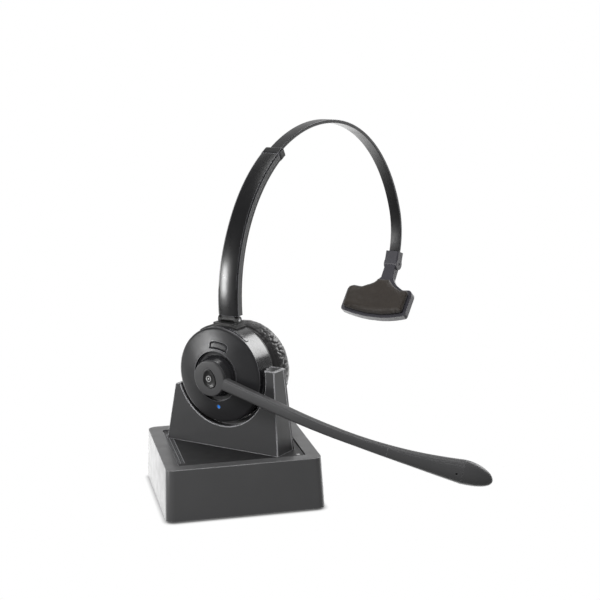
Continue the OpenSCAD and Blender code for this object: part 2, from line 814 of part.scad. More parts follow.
module boom_arm() {
    bend = (pod_s0 - boom_straight) / boom_curve_r * 180 / PI;
    color(charcoal) difference() {
        union() {
            ear_turned([[0, hub_mid_y - gap], [hub_face_r, hub_mid_y - gap], [hub_face_r, hub_front_y + 0.5],
                [hub_face_r - 0.5, hub_front_y], [0, hub_front_y]]);
            in_boom() translate([5, boom_y, 0]) rotate([90, 0, 90]) linear_extrude(boom_straight - 5)
                boom_section(0);
            in_boom() translate([boom_straight, boom_y + boom_curve_r, 0]) rotate([0, 0, -90 - lap_a])
                rotate_extrude(angle = bend + lap_a, $fn = 360) translate([boom_curve_r, 0])
                    boom_section(joint_step);
        }
        mute_prism(0.15, hub_front_y - 1, -16.7);
    }
}

// Egg-shaped outline of the mute button
module mute_outline(grow) {
    offset(delta = grow) hull() {
        translate([0.3, -1]) circle(r = 4, $fn = 32);
        translate([-0.7, 2.9]) circle(r = 2.4, $fn = 32);
    }
}

// Prism of the mute button's outline between depths y0 and y1
module mute_prism(grow, y0, y1) {
    translate([0, y1, ear_z]) rotate([90, 0, 0]) linear_extrude(y1 - y0) mute_outline(grow);
}

module mute_button() { color(dark) mute_prism(0, hub_front_y - 0.5, -17.3); }

module mute_dome() { color(steel) ear_disc(2.5, -16.78, -16.72); }

module boom_spindle() {
    color(steel) difference() {
        ear_ring(1.2, spindle_r, -13.55, -5.5);
        ear_ring(2.6, spindle_r + 1, -7.25, -6.45);
    }
}

module boom_clip() {
    color(steel) difference() {
        ear_ring(2.62, 5, -7.2, -6.5);
        translate([-1, -10, ear_z]) cube([2, 10, 8]);
    }
}

module mic_housing() {
    color(charcoal) difference() {
        union() {
            hull() {
                boom_slice(pod_s0 + gap, 5.8, 4.8);
                boom_slice(pod_mid_s, 9, 7.4);
            }
            hull() {
                boom_slice(pod_mid_s, 9, 7.4);
                boom_slice(mic_s, 11, 9);
                boom_slice(pod_s1 - 0.12, 10.8, 8.8);
            }
        }
        on_boom(mic_s) translate([0, 3, 0]) rotate([90, 0, 0]) cylinder(r = mic_r + gap, h = 5.2);
        on_boom(mic_s + 2.6) rotate([90, 0, 0]) cylinder(r = 0.5, h = 8);
    }
}

module mic_capsule() {
    color(steel) on_boom(mic_s) translate([0, 2.9, 0]) rotate([90, 0, 0]) cylinder(r = mic_r, h = 4.9);
}

module mic_tip() {
    color(charcoal) hull() {
        boom_slice(pod_s1, 10.8, 8.8);
        boom_slice(pod_s1 + 5, 10, 8.2);
        boom_slice(pod_s1 + 10, 7.6, 6.2);
        boom_slice(boom_len - 1.2, 4, 3.2);
        boom_slice(boom_len, 1, 0.8);
    }
}

dock_shell();
dock_deck();
dock_bottom();
dock_foot_pad();
dock_weight();
dock_pcb();
usb_socket();
dock_screws();
dock_led();
cradle();
cradle_back();
pin_block();
charge_pins();
cup_shell();
front_cover();
rear_plate();
ear_cushion();
speaker_cloth();
speaker_driver();
battery();
main_pcb();
tact_switches();
charge_contacts();
cup_led();
cup_screws();
swivel_bushing();
friction_washer();
yoke_saddle();
yoke_pin();
rocker_pin();
call_button();
volume_rocker();
hub_base();
boom_arm();
boom_spindle();
boom_clip();
mic_housing();
mic_capsule();
mic_tip();
mute_dome();
mute_button();
arm_yoke();
arm_shell();
arm_liner();
arm_screw();
end_cap();
detent_spring();
spring_band();
band_stop();
collar();
temple_pin();
temple_holder();
temple_pad();
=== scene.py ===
"""Looks for the office headset on its dock: smooth shells, soft goods, materials and studio."""

import json
import math

import bmesh
import bpy
from mathutils import Matrix, Vector, noise


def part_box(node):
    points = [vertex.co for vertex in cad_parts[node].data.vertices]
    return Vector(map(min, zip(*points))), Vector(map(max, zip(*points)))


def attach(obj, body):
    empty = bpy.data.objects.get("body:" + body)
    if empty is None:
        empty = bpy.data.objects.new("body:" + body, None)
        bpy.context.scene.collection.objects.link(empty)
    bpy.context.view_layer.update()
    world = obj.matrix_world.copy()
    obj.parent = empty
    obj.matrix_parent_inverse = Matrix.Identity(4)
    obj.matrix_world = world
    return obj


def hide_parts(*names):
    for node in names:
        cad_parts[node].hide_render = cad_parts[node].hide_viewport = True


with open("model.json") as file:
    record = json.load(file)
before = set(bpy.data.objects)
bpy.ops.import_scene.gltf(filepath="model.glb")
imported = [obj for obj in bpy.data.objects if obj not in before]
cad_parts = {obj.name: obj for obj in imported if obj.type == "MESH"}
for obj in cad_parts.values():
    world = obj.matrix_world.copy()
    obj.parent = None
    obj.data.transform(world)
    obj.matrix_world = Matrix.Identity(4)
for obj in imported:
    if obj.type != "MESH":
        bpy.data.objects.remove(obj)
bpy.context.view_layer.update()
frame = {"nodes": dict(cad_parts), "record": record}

# ---------- sizes, in millimetres, shared with the CAD frame ----------

MM = 0.001

# Ear cup: radii about its axis, depths along Y, and angles in degrees clockwise from straight up.
EAR_Z = 66.3
CUP_R = 25.2
RIM_Y = -9.4
DOME_H = 4.4
RECESS_R = 13.2
RECESS_Y = -10.8
SEAM_Y = -8.6
COVER_T = 1.6
COVER_WALL_R = 14.05
COVER_BORE_R = 4.52
LIP_R = 23.3
LAMP_R = 16.4
LAMP_A = 177
BUTTON_MID_R = 16.35
BUTTON_HALF_H = 1.95
BUTTON_HALF_W = 5.7
BUTTON_A = 7
BUTTON_FLANGE_Y = (-8.7, -9.3)
CUTTER_Y = (-20, -6)

# Hub that the boom turns on.
HUB_R = 11.0
HUB_FACE_R = 9.3
HUB_MID_Y = -16.4
HUB_FRONT_Y = -18.4

# Dock.
DOCK_HALF = 40.0
DOCK_FLARE = 1.25
DOCK_CORNER = 4.5
DOCK_RIM = 7.3
DOCK_WALL = 2.2
DECK_DROP = 1.0
PIN_X = 5.0
PIN_Y = -1.5

# Headband: four arcs that follow each other, their ends in degrees, and the first arc's centre.
ARC_R = (85.0, 98.0, 86.0, 43.0)
ARC_END = (60.5, 100.5, 163.0, 204.0)
ARC_START = (87.4, 101.4)
SLEEVE_A0 = -3.7
CAP_A0 = 59.2
CAP_A1 = 63.0
TAIL_A0 = 24.0
SLOT_HALF_T = 1.06
CHANNEL_HALF_W = 3.9
BAND_HALF_T = 1.0
BAND_HALF_W = 3.45
SCREW_AT = (0.0, 5.6, 99.2)

# Boom: places along it are measured from the hub's axis.
BOOM_DROOP = 14.8
BOOM_STRAIGHT = 49.0
BOOM_CURVE_R = 202.0
BOOM_Y = -16.2
POD_S0 = 104.0
POD_S1 = 141.3
BOOM_LEN = 156.6
NOSE_DROP = 1.5
MIC_HOLE_Y = 4.3
MIC_HOLE_S = 138.6

# Temple bar, in its own tilted frame.
TEMPLE_POS = (0.0, 155.6, 77.6)
TEMPLE_TILT = 40.0
TEMPLE_ARCH_R = 80.0
PAD_BACK_Y = 2.4
HOLDER_MID_Y = 5.1
HOLDER_NECK_Z = 14.5
HOLDER_FILL = 1.7


# ---------- materials ----------

class Finish:
    """Builds one node material around a Principled shader."""

    FLAT_DOT = 0.998
    EDGE_DOT = 0.965

    def __init__(self, name, colour, rough, metal=0.0):
        self.material = bpy.data.materials.new(name)
        self.material.use_nodes = True
        self.tree = self.material.node_tree
        self.shader = self.tree.nodes["Principled BSDF"]
        self.set("Metallic", metal)
        self.coords = self.add("ShaderNodeTexCoord").outputs["Object"]
        self.colour = colour
        self.rough = rough
        self.base = None
        self.height = None

    def add(self, kind, **values):
        node = self.tree.nodes.new(kind)
        for key, value in values.items():
            name = key.replace("_", " ")
            if name in node.inputs:
                node.inputs[name].default_value = value
            else:
                setattr(node, key, value)
        return node

    def set(self, name, value):
        self.shader.inputs[name].default_value = value

    def link(self, out, into):
        self.tree.links.new(out, into)

    def stretched(self, scale):
        """Object coordinates scaled by (x, y, z)."""
        mapping = self.add("ShaderNodeMapping")
        mapping.inputs["Scale"].default_value = scale
        self.link(self.coords, mapping.inputs["Vector"])
        return mapping.outputs["Vector"]

    def noise(self, size_mm, detail=3.0, vector=None):
        node = self.add("ShaderNodeTexNoise", Scale=1.0 / (size_mm * MM), Detail=detail)
        self.link(vector or self.coords, node.inputs["Vector"])
        return node.outputs["Fac"]

    def remap(self, value, low, high):
        node = self.add("ShaderNodeMapRange")
        node.inputs["From Min"].default_value = 0.3
        node.inputs["From Max"].default_value = 0.7
        node.inputs["To Min"].default_value = low
        node.inputs["To Max"].default_value = high
        self.link(value, node.inputs["Value"])
        return node.outputs["Result"]

    def vary(self, size_mm, colour_spread, rough_spread):
        """Slow drift of colour and roughness over the surface."""
        drift = self.noise(size_mm)
        mix = self.add("ShaderNodeMix", data_type="RGBA")
        mix.inputs[6].default_value = (*[c * (1 - colour_spread) for c in self.colour], 1)
        mix.inputs[7].default_value = (*[c * (1 + colour_spread) for c in self.colour], 1)
        self.link(drift, mix.inputs[0])
        self.base = mix.outputs[2]
        rough = self.remap(self.noise(size_mm * 0.4), self.rough - rough_spread, self.rough + rough_spread)
        self.link(rough, self.shader.inputs["Roughness"])

    def painted_edge_highlight(self, gain, width_mm=0.4):
        """Paints a light line along every edge: a painted highlight standing for the shine that rounded
        edges catch.
        """
        bevel = self.add("ShaderNodeBevel", Radius=width_mm * MM, samples=6)
        flat = self.add("ShaderNodeNewGeometry").outputs["Normal"]
        dot = self.add("ShaderNodeVectorMath", operation="DOT_PRODUCT")
        self.link(bevel.outputs["Normal"], dot.inputs[0])
        self.link(flat, dot.inputs[1])
        ramp = self.add("ShaderNodeMapRange")
        ramp.inputs["From Min"].default_value = self.FLAT_DOT
        ramp.inputs["From Max"].default_value = self.EDGE_DOT
        self.link(dot.outputs["Value"], ramp.inputs["Value"])
        mix = self.add("ShaderNodeMix", data_type="RGBA")
        mix.inputs[7].default_value = (*[min(1.0, c * gain) for c in self.colour], 1)
        self.link(self.base, mix.inputs[6])
        self.link(ramp.outputs["Result"], mix.inputs[0])
        self.base = mix.outputs[2]

    def bump(self, height, depth_mm, strength=1.0):
        node = self.add("ShaderNodeBump", Strength=strength, Distance=depth_mm * MM)
        self.link(height, node.inputs["Height"])
        if self.height:
            self.link(self.height, node.inputs["Normal"])
        self.height = node.outputs["Normal"]

    def round_edges(self, radius_mm):
        node = self.add("ShaderNodeBevel", Radius=radius_mm * MM, samples=6)
        self.height = node.outputs["Normal"]

    def done(self):
        self.link(self.base, self.shader.inputs["Base Color"])
        if self.height:
            self.link(self.height, self.shader.inputs["Normal"])
        return self.material


def moulded(name, colour, rough, grain_mm, depth_mm, edge_highlight_gain, coat=0.0, coat_rough=0.1):
    """Injection-moulded plastic with a fine spark texture."""
    look = Finish(name, colour, rough)
    look.vary(18, 0.08, 0.04)
    # painted highlight: a light line along every edge
    look.painted_edge_highlight(edge_highlight_gain)
    look.round_edges(0.15)
    if depth_mm:
        look.bump(look.noise(grain_mm, 4), depth_mm, 0.6)
    look.set("Coat Weight", coat)
    look.set("Coat Roughness", coat_rough)
    return look.done()


def polished(name, colour, rough, edge_highlight_gain, coat_rough):
    """Piano-black plastic: deep gloss, faint flow marks and fine handling haze."""
    look = Finish(name, colour, rough)
    look.vary(9, 0.15, 0.03)
    # painted highlight: a light line along every edge
    look.painted_edge_highlight(edge_highlight_gain, 0.25)
    look.round_edges(0.2)
    look.bump(look.noise(7, 1), 0.03, 0.35)
    look.bump(look.noise(0.5, 2), 0.002, 0.5)
    look.set("Coat Weight", 0.6)
    look.set("Coat Roughness", coat_rough)
    return look.done()


def steel(name, colour, rough, streak):
    """Metal with streaks along one direction."""
    look = Finish(name, colour, rough, metal=1.0)
    look.vary(3, 0.1, 0.08)
    look.round_edges(0.08)
    look.bump(look.noise(0.3, 3, look.stretched(streak)), 0.006, 0.7)
    return look.done()


def leatherette(name, colour, rough, cell_mm, depth_mm):
    """Coated fabric: pebbled cells, pores and soft creases."""
    look = Finish(name, colour, rough)
    look.vary(6, 0.18, 0.07)
    cells = look.add("ShaderNodeTexVoronoi", feature="DISTANCE_TO_EDGE", Scale=1 / (cell_mm * MM))
    look.link(look.coords, cells.inputs["Vector"])
    look.bump(look.remap(cells.outputs["Distance"], 0.0, 1.0), depth_mm, 0.5)
    look.bump(look.noise(2.4, 3), depth_mm * 3, 0.35)
    look.set("Sheen Weight", 0.12)
    return look.done()


def woven(name, colour, thread_mm):
    """Open acoustic cloth: two crossing sets of threads."""
    look = Finish(name, colour, 0.85)
    look.vary(4, 0.2, 0.05)
    for direction in ("X", "Z"):
        wave = look.add("ShaderNodeTexWave", bands_direction=direction, Scale=0.314 / (thread_mm * MM))
        look.link(look.coords, wave.inputs["Vector"])
        look.bump(wave.outputs["Fac"], 0.08, 0.8)
    look.set("Sheen Weight", 0.3)
    return look.done()


def circuit(name):
    """Solder mask with faint raised tracks."""
    look = Finish(name, (0.01, 0.09, 0.04), 0.35)
    look.vary(5, 0.3, 0.05)
    tracks = look.add("ShaderNodeTexVoronoi", feature="DISTANCE_TO_EDGE", Scale=500.0)
    look.link(look.coords, tracks.inputs["Vector"])
    look.bump(tracks.outputs["Distance"], 0.05, 0.6)
    return look.done()


def lens(name, colour, glow):
    """Moulded light guide, brightest in the middle."""
    look = Finish(name, colour, 0.25)
    look.vary(0.5, 0.2, 0.05)
    facing = look.add("ShaderNodeLayerWeight", Blend=0.35)
    strength = look.add("ShaderNodeMapRange")
    strength.inputs["To Min"].default_value = glow
    strength.inputs["To Max"].default_value = glow * 0.3
    look.link(facing.outputs["Facing"], strength.inputs["Value"])
    look.set("Emission Color", (*colour, 1))
    look.link(strength.outputs["Result"], look.shader.inputs["Emission Strength"])
    return look.done()


def build_looks():
    """One material for each slot of the record."""
    # The edge-highlight gains given to moulded and polished paint a light line along the edges as painted
    # highlight.
    return {
        "dock_plastic": moulded("dock_plastic", (0.050, 0.050, 0.051), 0.42, 0.45, 0.03, 7.0, 0.15, 0.2),
        "deck_plastic": moulded("deck_plastic", (0.012, 0.012, 0.0125), 0.52, 0.45, 0.015, 20.0),
        "cradle_plastic": moulded("cradle_plastic", (0.026, 0.026, 0.027), 0.42, 0.4, 0.02, 16.0),
        "foot_rubber": moulded("foot_rubber", (0.012, 0.012, 0.012), 0.8, 0.8, 0.06, 1.2),
        "plated_steel": steel("plated_steel", (0.55, 0.55, 0.56), 0.3, (1, 1, 8)),
        "circuit_board": circuit("circuit_board"),
        "clear_lens": lens("clear_lens", (0.3, 0.3, 0.3), 0.0),
        "gold_plate": steel("gold_plate", (0.83, 0.62, 0.25), 0.22, (1, 1, 4)),
        "gloss_shell": polished("gloss_shell", (0.011, 0.011, 0.012), 0.26, 12.0, 0.16),
        "satin_cover": moulded("satin_cover", (0.015, 0.015, 0.016), 0.36, 0.5, 0.035, 9.0),
        "trim_plastic": moulded("trim_plastic", (0.007, 0.007, 0.007), 0.45, 0.5, 0.015, 4.0),
        "cushion_leather": leatherette("cushion_leather", (0.017, 0.0165, 0.017), 0.33, 0.55, 0.07),
        "speaker_fabric": woven("speaker_fabric", (0.02, 0.02, 0.021), 0.7),
        "battery_foil": steel("battery_foil", (0.62, 0.62, 0.64), 0.35, (6, 1, 1)),
        "blue_led": lens("blue_led", (0.010, 0.105, 0.38), 0.8),
        "boom_plastic": moulded("boom_plastic", (0.040, 0.040, 0.041), 0.40, 0.4, 0.018, 2.0),
        "button_plastic": moulded("button_plastic", (0.006, 0.006, 0.006), 0.34, 0.4, 0.012, 2.5),
        "gloss_sleeve": polished("gloss_sleeve", (0.005, 0.005, 0.0055), 0.3, 40.0, 0.2),
        "cap_plastic": moulded("cap_plastic", (0.007, 0.007, 0.0075), 0.32, 0.4, 0.012, 22.0),
        "band_coating": moulded("band_coating", (0.005, 0.005, 0.0055), 0.4, 0.6, 0.01, 26.0),
        "temple_plastic": moulded("temple_plastic", (0.036, 0.035, 0.041), 0.42, 0.35, 0.025, 1.2),
        "pad_leather": leatherette("pad_leather", (0.020, 0.0155, 0.012), 0.6, 0.4, 0.03),
    }


# ---------- mesh helpers; points are in millimetres ----------

def fillet(points, radii, steps=4):
    """Rounds the corners of a closed polygon of (u, v) points with arcs."""
    out = []
    count = len(points)
    for i, radius in enumerate(radii):
        corner = Vector(points[i])
        before = (Vector(points[i - 1]) - corner)
        after = (Vector(points[(i + 1) % count]) - corner)
        angle = before.angle(after)
        if radius <= 0 or angle > math.radians(175):
            out.append(corner)
            continue
        reach = min(radius / math.tan(angle / 2), before.length * 0.49, after.length * 0.49)
        start = corner + before.normalized() * reach
        end = corner + after.normalized() * reach
        for k in range(steps + 1):
            t = k / steps
            out.append(start * (1 - t) ** 2 + corner * 2 * t * (1 - t) + end * t ** 2)
    return out


def loft(name, rings, loop=False):
    """A mesh through rings of equal length; loop joins the last ring to the first."""
    count = len(rings[0])
    verts = [tuple(c * MM for c in p) for ring in rings for p in ring]
    faces = []
    spans = len(rings) if loop else len(rings) - 1
    for i in range(spans):
        a = i * count
        b = (i + 1) % len(rings) * count
        for k in range(count):
            n = (k + 1) % count
            faces.append((a + k, a + n, b + n, b + k))
    if not loop:
        faces.append(tuple(range(count - 1, -1, -1)))
        faces.append(tuple((len(rings) - 1) * count + k for k in range(count)))
    mesh = bpy.data.meshes.new(name)
    mesh.from_pydata(verts, [], faces)
    obj = bpy.data.objects.new(name, mesh)
    bpy.context.scene.collection.objects.link(obj)
    tidy(obj)
    return obj


def piece(name, rings, slot, body, nodes, loop=False, sharp=32):
    """A loft that is dressed and stands for CAD nodes."""
    return dress(loft(name, rings, loop), slot, body, nodes, sharp)


def tidy(obj, merge_mm=0.001):
    """Welds doubles, drops flat leftovers and points every face outwards."""
    bm = bmesh.new()
    bm.from_mesh(obj.data)
    bmesh.ops.remove_doubles(bm, verts=bm.verts, dist=merge_mm * MM)
    bmesh.ops.dissolve_degenerate(bm, edges=bm.edges, dist=merge_mm * MM)
    bmesh.ops.recalc_face_normals(bm, faces=bm.faces)
    bm.to_mesh(obj.data)
    bm.free()


def dress(obj, slot, body, nodes, sharp):
    """Shading, material, body and the CAD nodes that the piece stands for."""
    obj.data.materials.clear()
    obj.data.materials.append(looks[slot])
    for face in obj.data.polygons:
        face.use_smooth = True
    obj.data.set_sharp_from_angle(angle=math.radians(sharp))
    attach(obj, body)
    if nodes:
        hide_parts(*nodes)
    return obj


def apply_modifiers(obj):
    graph = bpy.context.evaluated_depsgraph_get()
    mesh = bpy.data.meshes.new_from_object(obj.evaluated_get(graph))
    obj.modifiers.clear()
    obj.data = mesh


def softened(node, width_mm, angle=28):
    """A copy of a CAD node whose sharp edges are rounded; it stands for the node."""
    source = frame["nodes"][node]
    slot = slot_of[node]
    body = body_of[node]
    obj = bpy.data.objects.new(node + "_skin", source.data.copy())
    bpy.context.scene.collection.objects.link(obj)
    bm = bmesh.new()
    bm.from_mesh(obj.data)
    bmesh.ops.remove_doubles(bm, verts=bm.verts, dist=0.001 * MM)
    bmesh.ops.dissolve_limit(bm, angle_limit=math.radians(0.6), verts=bm.verts, edges=bm.edges)
    bm.to_mesh(obj.data)
    bm.free()
    bevel = obj.modifiers.new("bevel", "BEVEL")
    bevel.width = width_mm * MM
    bevel.segments = 3
    bevel.limit_method = "ANGLE"
    bevel.angle_limit = math.radians(angle)
    bevel.harden_normals = False
    bevel.use_clamp_overlap = True
    weighted = obj.modifiers.new("normals", "WEIGHTED_NORMAL")
    weighted.keep_sharp = True
    for face in obj.data.polygons:
        face.use_smooth = True
    apply_modifiers(obj)
    obj.data.materials.clear()
    obj.data.materials.append(looks[slot])
    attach(obj, body)
    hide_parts(node)
    return obj


def resized(obj, factors):
    """Scales a piece about the middle of its box by a factor along each axis."""
    corners = [v.co for v in obj.data.vertices]
    low = Vector([min(c[i] for c in corners) for i in range(3)])
    high = Vector([max(c[i] for c in corners) for i in range(3)])
    middle = (low + high) / 2
    for v in obj.data.vertices:
        v.co = middle + Vector([(v.co[i] - middle[i]) * factors[i] for i in range(3)])


def ear_point(r, a, y):
    """Point at radius r and angle a, in radians from straight up, about the cup's axis."""
    return (r * math.sin(a), y, EAR_Z + r * math.cos(a))


def lathe(name, profile, slot, body, nodes, segments=128, sharp=32):
    """Turns a closed profile of (radius, y) about the cup's axis."""
    rings = []
    for k in range(segments):
        a = 2 * math.pi * k / segments
        rings.append([ear_point(r, a, y) for r, y in profile])
    return piece(name, rings, slot, body, nodes, loop=True, sharp=sharp)


def cut(obj, cutter):
    """Subtracts cutter from obj and removes the cutter."""
    mod = obj.modifiers.new("cut", "BOOLEAN")
    mod.operation = "DIFFERENCE"
    mod.solver = "EXACT"
    mod.object = cutter
    bpy.context.view_layer.update()
    apply_modifiers(obj)
    bpy.data.objects.remove(cutter)


# ---------- dock ----------

def square_ring(half, corner, z, per_corner=8):
    """Rounded square about the dock's axis, turned 45 degrees."""
    ring = []
    for quarter in range(4):
        turn = math.radians(90 * quarter)
        for k in range(per_corner + 1):
            a = turn + math.pi / 2 * k / per_corner
            cx = (half - corner) * (math.cos(turn) - math.sin(turn))
            cy = (half - corner) * (math.sin(turn) + math.cos(turn))
            x = cx + corner * math.cos(a)
            y = cy + corner * math.sin(a)
            ring.append(Vector((x, y, z)))
    turn45 = Matrix.Rotation(math.radians(45), 3, "Z")
    return [turn45 @ p for p in ring]


def build_dock():
    low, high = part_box("dock_shell")
    z0 = low.z / MM
    z1 = high.z / MM
    bottom_half = DOCK_HALF + DOCK_FLARE
    well_half = DOCK_HALF - DOCK_RIM + 0.2
    deck_z = z1 - DECK_DROP
    profile = fillet([(bottom_half, z0), (DOCK_HALF, z1), (well_half, z1), (well_half, deck_z - 2.6),
        (well_half - 3, deck_z - 2.6), (well_half - 3, deck_z - 5), (DOCK_HALF - DOCK_WALL, deck_z - 5),
        (DOCK_HALF - DOCK_WALL, z0)],
        [0.4, 0.4, 0.35, 0, 0, 0, 0, 0.3])
    rings = []
    for half, z in profile:
        corner = DOCK_CORNER if half > well_half + 1 else 1.4
        rings.append(square_ring(half, corner, z))
    piece("dock_case", rings, "dock_plastic", "dock", ["dock_shell"], loop=True)
    softened("dock_deck", 0.18)
    build_cradle()


# ---------- cradle ----------

CRADLE_FRONT_Y = -7.9
CRADLE_BACK_Y = 7.85
CRADLE_LEAN = math.tan(math.radians(6.8))
CRADLE_LID = 1.8
CRADLE_BASE = 26.5
NOTCH_R = 25.6
MOUTH_R = 27.9
MOUTH_DEPTH = 4.0
LEFT_POST = (-36.9, -29.9, 57.7)
RIGHT_POST = (34.4, 33.3, 71.3)
LEFT_TOP_SLOPE = 0.203


def notch_point(r, turn, straight):
    """Point of the notch's edge, turn degrees round from the bottom towards +X."""
    a = math.radians(turn)
    if straight and turn > 90:
        return (r, EAR_Z + r * math.tan(a - math.pi / 2))
    return (r * math.sin(a), EAR_Z - r * math.cos(a))


def notch_span(r, straight, inset):
    """Turns at which the notch's edge meets the tops of the left and right posts."""
    left = -60.0
    for _ in range(30):
        x, z = notch_point(r, left, False)
        left += (z - (LEFT_POST[2] - inset + LEFT_TOP_SLOPE * (x - LEFT_POST[1]))) * 1.2
    rise = RIGHT_POST[2] - inset - EAR_Z
    right = math.atan(rise / r) if straight else math.asin(rise / r)
    return left, 90 + math.degrees(right)


def cradle_ring(r, straight, inset, depth_at):
    """Outline of the cradle: foot, left post, notch, right post, foot."""
    left, right = notch_span(r, straight, inset)
    foot_l, top_l, height_l = LEFT_POST
    foot_r, top_r, height_r = RIGHT_POST
    outline = [(foot_l + inset, CRADLE_BASE), (top_l + inset - 0.1, height_l - inset - 0.5),
        (top_l + inset + 0.5, height_l - inset + 0.1)]
    outline += [notch_point(r, left + (right - left) * k / 72, straight) for k in range(73)]
    outline += [(top_r - inset - 0.6, height_r - inset), (top_r - inset, height_r - inset - 0.6),
        (foot_r - inset, CRADLE_BASE)]
    return [(x, depth_at(z), z) for x, z in outline]


def cradle_back_y(z, inset):
    return CRADLE_BACK_Y - (z - CRADLE_BASE) * CRADLE_LEAN - inset


def build_cradle():
    soft = 0.3
    seam = 0.08
    front = CRADLE_FRONT_Y
    rings = [
        cradle_ring(MOUTH_R + soft, False, soft, lambda z: front),
        cradle_ring(MOUTH_R, False, 0.0, lambda z: front + soft),
        cradle_ring(MOUTH_R, False, 0.0, lambda z: front + MOUTH_DEPTH),
        cradle_ring(NOTCH_R + 0.25, True, 0.0, lambda z: front + MOUTH_DEPTH),
        cradle_ring(NOTCH_R, True, 0.0, lambda z: front + MOUTH_DEPTH + 0.25),
        cradle_ring(NOTCH_R, True, 0.0, lambda z: cradle_back_y(z, CRADLE_LID + seam + 0.12)),
        cradle_ring(NOTCH_R + 0.12, True, 0.12, lambda z: cradle_back_y(z, CRADLE_LID + seam)),
    ]
    body = piece("cradle_front", rings, "cradle_plastic", "dock", ["cradle"])
    block_room = (2.4, 28, 38.3)
    pin_hole = (0.86, 38.2, 46)
    for room in (block_room, pin_hole):
        cut(body, pin_room(*room))
    rings = [
        cradle_ring(NOTCH_R + 0.12, True, 0.12, lambda z: cradle_back_y(z, CRADLE_LID)),
        cradle_ring(NOTCH_R, True, 0.0, lambda z: cradle_back_y(z, CRADLE_LID - 0.12)),
        cradle_ring(NOTCH_R, True, 0.0, lambda z: cradle_back_y(z, soft)),
        cradle_ring(NOTCH_R + soft, True, soft, lambda z: cradle_back_y(z, 0.0)),
    ]
    piece("cradle_lid", rings, "cradle_plastic", "dock", ["cradle_back"])


def pin_room(radius, z0, z1):
    """Upright round hollow for each of the two charging pins."""
    bm = bmesh.new()
    for x in (-PIN_X, PIN_X):
        place = Matrix.Translation(Vector((x, PIN_Y, (z0 + z1) / 2)) * MM)
        bmesh.ops.create_cone(bm, cap_ends=True, segments=32, radius1=radius * MM,
            radius2=radius * MM, depth=(z1 - z0) * MM, matrix=place)
    mesh = bpy.data.meshes.new("pin_room")
    bm.to_mesh(mesh)
    bm.free()
    obj = bpy.data.objects.new("pin_room", mesh)
    bpy.context.scene.collection.objects.link(obj)
    return obj


# ---------- ear cup ----------

def dome_y(r):
    return RIM_Y - DOME_H * (1 - (r / CUP_R) ** 2)


def build_front_cover():
    """Domed face with the hub's recess, the call button's opening and the lamp's hole."""
    dome = [(r, dome_y(r)) for r in angles(RECESS_R, CUP_R - 0.6, 0.8)]
    inside = [(r, dome_y(r) + COVER_T) for r in reversed(angles(COVER_WALL_R, LIP_R, 0.8))]
    rim = [(CUP_R - 0.15, RIM_Y + 0.25), (CUP_R, SEAM_Y), (LIP_R, SEAM_Y)]
    floor = [(COVER_WALL_R, RECESS_Y + COVER_T), (COVER_BORE_R, RECESS_Y + COVER_T),
        (COVER_BORE_R, RECESS_Y), (RECESS_R, RECESS_Y)]
    cover = lathe("cup_face", floor + dome + rim + inside, "satin_cover", "cup", ["front_cover"],
        segments=160)
    cut(cover, loft("button_opening", [button_ring(0, lambda r, y=y: y) for y in CUTTER_Y]))
    cut(cover, loft("lamp_hole", [lamp_ring(y) for y in CUTTER_Y]))


def lamp_ring(y, points=32):
    """Round of 1 mm radius about the lamp's axis."""
    middle = Vector(ear_point(LAMP_R, math.radians(LAMP_A), y))
    turns = [2 * math.pi * k / points for k in range(points)]
    return [middle + Vector((math.cos(t), 0, math.sin(t))) for t in turns]


def button_ring(grow, y_at, points=64):
    """Outline of the call button: an arc-shaped strip with rounded corners."""
    squareness = 0.35
    ring = []
    for k in range(points):
        t = 2 * math.pi * k / points
        c = math.cos(t)
        n = math.sin(t)
        v = (BUTTON_HALF_H + grow) * math.copysign(abs(n) ** squareness, n)
        u = (BUTTON_HALF_W + grow) * math.copysign(abs(c) ** squareness, c) * (1 + 0.02 * v)
        r = BUTTON_MID_R + v
        ring.append(ear_point(r, math.radians(BUTTON_A) + u / r, y_at(r)))
    return ring


def build_call_button():
    """Key with a flange behind the cover, a little lower than the cover's dome."""
    gap = 0.45
    rings = [button_ring(0.15, lambda r, y=y: y) for y in BUTTON_FLANGE_Y]
    rings.append(button_ring(-gap, lambda r: BUTTON_FLANGE_Y[1]))
    for grow, depth in ((-gap, 0.5), (-0.52, 0.36), (-0.7, 0.25), (-1.1, 0.2), (-1.6, 0.2)):
        rings.append(button_ring(grow, lambda r, depth=depth: dome_y(r) + depth))
    piece("call_key", rings, slot_of["call_button"], body_of["call_button"], ["call_button"])


def build_cup():
    build_front_cover()
    build_call_button()
    softened("volume_rocker", 0.2)
    softened("yoke_saddle", 0.2)
    softened("rear_plate", 0.25)


def build_speaker_cloth():
    """Slightly domed cloth behind the cushion's opening."""
    low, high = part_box("speaker_cloth")
    y_face = high.y / MM
    radius = high.x / MM
    profile = [(0.02, y_face + 0.9)]
    for k in range(1, 9):
        r = radius * k / 8
        profile.append((r, y_face + 0.9 * (1 - (k / 8) ** 2)))
    profile += [(radius, low.y / MM), (0.02, low.y / MM)]
    lathe("speaker_cloth_dome", profile, "speaker_fabric", "cup", ["speaker_cloth"], segments=96)


# ---------- soft goods ----------

SIM_SCALE = 20


